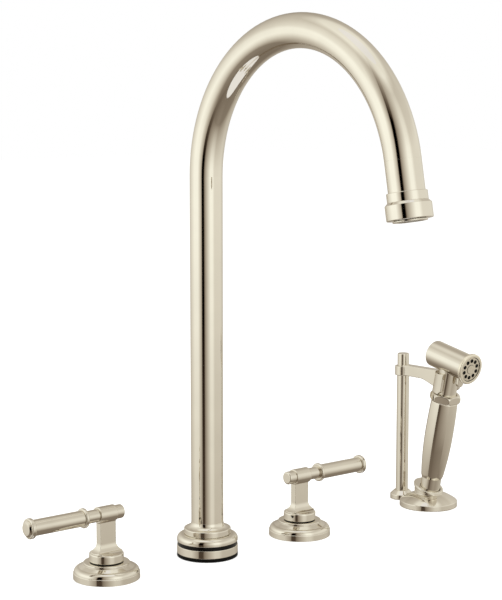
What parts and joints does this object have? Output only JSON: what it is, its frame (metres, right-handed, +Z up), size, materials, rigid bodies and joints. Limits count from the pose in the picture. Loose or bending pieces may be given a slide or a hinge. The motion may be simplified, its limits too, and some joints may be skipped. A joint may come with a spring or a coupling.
{
  "type": "widespread kitchen faucet",
  "caption": "Deck-mounted kitchen faucet set with a swivelling gooseneck spout, lever handles and a hand sprayer leaning in a deck dock with a forked holder.",
  "frame": {"origin": "on the spout's axis at deck level, the mouth of the supply shank's hole", "axes": "+X runs along the row from the left handle to the sprayer, -Y points over the sink where the spout reaches, +Z is up from the deck"},
  "size_m": [0.4628, 0.2979, 0.4436],
  "materials": {
    "nickel": "polished nickel, warm",
    "black_rubber": "smooth black rubber",
    "black_band": "gloss black insulator",
    "black_acetal": "black bearing plastic",
    "steel": "plain stainless steel",
    "aerator_grey": "grey moulded plastic",
    "face_grey": "satin nickel spray face"
  },
  "bodies": {
    "deck_set": {"deck_gasket": "black_rubber", "base_ring": "nickel", "touch_band": "black_band", "spout_body": "nickel", "pivot_post": "steel", "swivel_seals": "black_rubber", "retaining_clip": "steel", "glide_washer": "black_acetal", "left_flange": "nickel", "left_deck_seal": "black_rubber", "left_glide_ring": "black_acetal", "right_flange": "nickel", "right_deck_seal": "black_rubber", "right_glide_ring": "black_acetal", "dock_base": "nickel", "dock_seal": "black_rubber", "bracket_post": "nickel", "bracket_arm": "nickel", "arm_screw": "steel", "post_cap": "nickel"},
    "spout": {"spout_foot": "nickel", "spout_tube": "nickel", "nozzle_ring": "nickel", "nozzle_collar": "nickel", "aerator_seal": "black_rubber", "aerator_body": "aerator_grey", "aerator_screen": "steel"},
    "left_handle": {"left_hub": "nickel", "left_set_screw": "steel", "left_lever_rod": "nickel", "left_lever_cap": "nickel", "left_bolster": "nickel", "left_grip": "nickel", "left_end_ring": "nickel", "left_button": "nickel"},
    "right_handle": {"right_hub": "nickel", "right_set_screw": "steel", "right_lever_rod": "nickel", "right_lever_cap": "nickel", "right_bolster": "nickel", "right_grip": "nickel", "right_end_ring": "nickel", "right_button": "nickel"},
    "sprayer": {"sprayer_ferrule": "nickel", "sprayer_grip": "nickel", "sprayer_nut": "nickel", "sprayer_neck": "nickel", "head_barrel": "nickel", "face_ring": "nickel", "spray_face": "face_grey", "trigger_pin": "steel"},
    "trigger": {"trigger_lever": "nickel"}
  },
  "joints": [
    {"name": "spout_swivel", "type": "hinge", "parent": "deck_set", "child": "spout", "pos_m": [0, 0, 0.03], "axis": [0, 0, 1], "range_deg": [-180, 180]},
    {"name": "left_handle_turn", "type": "hinge", "parent": "deck_set", "child": "left_handle", "pos_m": [-0.1016, 0, 0.0173], "axis": [0, 0, 1], "range_deg": [0, 90]},
    {"name": "right_handle_turn", "type": "hinge", "parent": "deck_set", "child": "right_handle", "pos_m": [0.1016, 0, 0.0173], "axis": [0, 0, 1], "range_deg": [-90, 0]},
    {"name": "sprayer_tilt", "type": "hinge", "parent": "deck_set", "child": "sprayer", "pos_m": [0.2604, -0.00122, 0.014], "axis": [1, 0, 0], "range_deg": [0, 10]},
    {"name": "trigger_press", "type": "hinge", "parent": "sprayer", "child": "trigger", "pos_m": [0.2604, -0.03902, 0.1275], "axis": [1, 0, 0], "range_deg": [0, 12], "stiffness_Nm_per_rad": 0.2, "springref_deg": -5.73}
  ]
}
